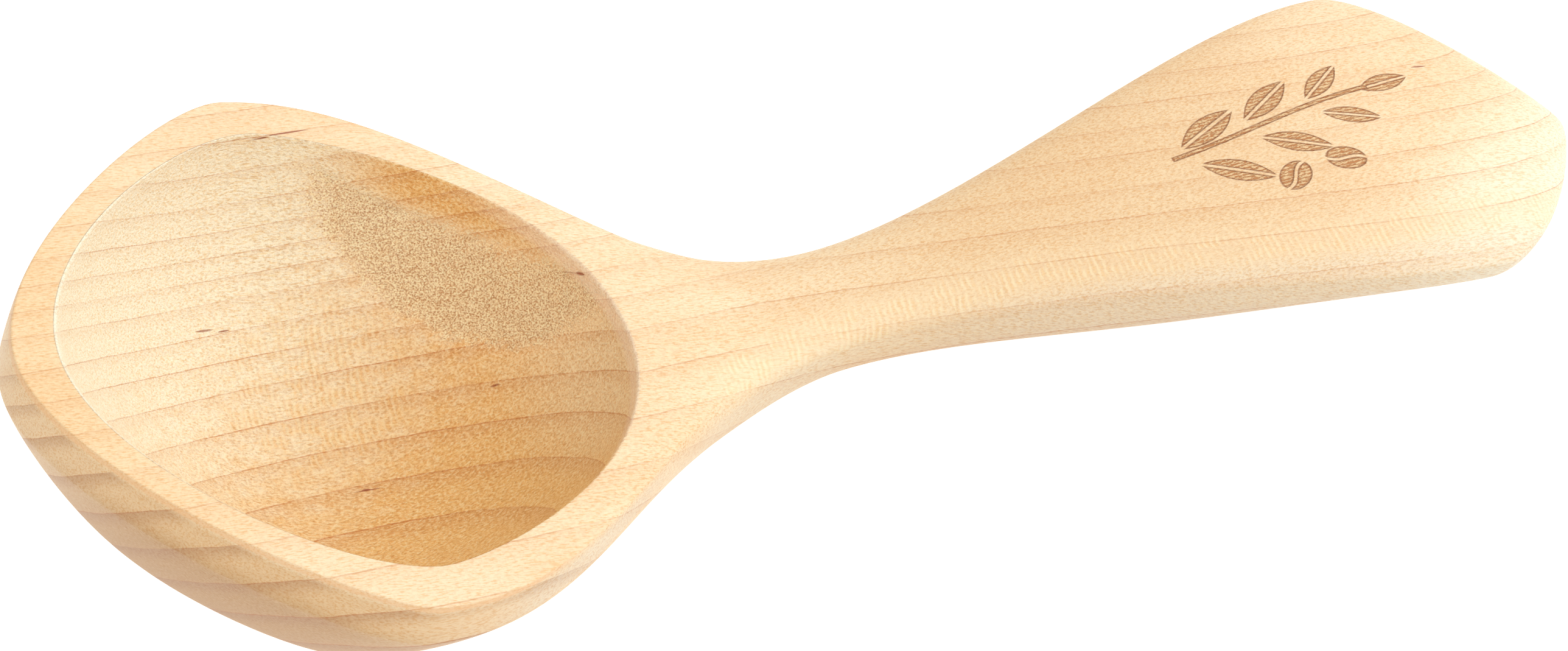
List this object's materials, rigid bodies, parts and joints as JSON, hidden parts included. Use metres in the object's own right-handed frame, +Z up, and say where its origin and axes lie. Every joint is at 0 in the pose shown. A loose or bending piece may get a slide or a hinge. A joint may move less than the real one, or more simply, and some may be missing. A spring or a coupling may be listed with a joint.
{
  "type": "coffee measuring scoop",
  "caption": "Carved wooden coffee measuring scoop: a deep bowl with a rounded diamond rim, a narrow neck and a flared paddle handle, lying tilted back on its bowl and handle end.",
  "frame": {"origin": "centre of the bounding box seen from above, on the table plane that the scoop lies on", "axes": "+X along the scoop from the bowl to the handle's end, +Y across it, +Z up from the table; the scoop lies tilted back, so its rim plane falls towards +X"},
  "size_m": [0.1504, 0.0574, 0.0359],
  "materials": {
    "maple": "satin"
  },
  "bodies": {
    "root": {"scoop_body": "maple"}
  },
  "joints": []
}
